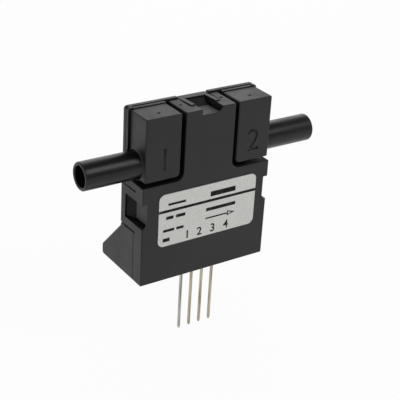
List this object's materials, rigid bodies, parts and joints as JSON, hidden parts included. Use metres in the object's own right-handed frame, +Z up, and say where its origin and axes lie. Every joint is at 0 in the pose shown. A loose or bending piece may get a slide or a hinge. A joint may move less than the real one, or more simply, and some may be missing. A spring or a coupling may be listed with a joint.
{
  "type": "thermal mass flow sensor",
  "caption": "Compact gas flow sensor: snap-together black housing with a straight hose tube on each side, a silver label, a wedge foot and a row of square pins.",
  "frame": {"origin": "centre of the pin row on the seating plane, which is the underside of the housing", "axes": "+X along the gas flow from inlet to outlet, +Y from the front face to the back, +Z up"},
  "size_m": [0.0538, 0.016, 0.051],
  "materials": {
    "housing_black": "fine spark-eroded texture",
    "flow_black": "fine texture on the blocks, satin on the tubes",
    "label_silver": "printed polyester film",
    "board_green": "solder resist",
    "seal_grey": "matt",
    "silicon_grey": "polished",
    "epoxy_black": "glossy",
    "package_black": "moulded epoxy",
    "header_black": "moulded",
    "capacitor_tan": "sintered",
    "resistor_dark": "glazed",
    "pin_gilt": "thin gold plating"
  },
  "bodies": {
    "root": {"front_cover": "housing_black", "rear_cover": "housing_black", "flow_body": "flow_black", "label_plate": "label_silver", "circuit_board": "board_green", "channel_gasket": "seal_grey", "sensor_die": "silicon_grey", "die_encapsulant": "epoxy_black", "signal_processor": "package_black", "bridge_amplifier": "package_black", "voltage_regulator": "package_black", "pin_header": "header_black", "capacitor_1": "capacitor_tan", "capacitor_2": "capacitor_tan", "capacitor_3": "capacitor_tan", "capacitor_4": "capacitor_tan", "resistor_1": "resistor_dark", "resistor_2": "resistor_dark", "resistor_3": "resistor_dark", "resistor_4": "resistor_dark", "contact_pin_1": "pin_gilt", "contact_pin_2": "pin_gilt", "contact_pin_3": "pin_gilt", "contact_pin_4": "pin_gilt"}
  },
  "joints": []
}
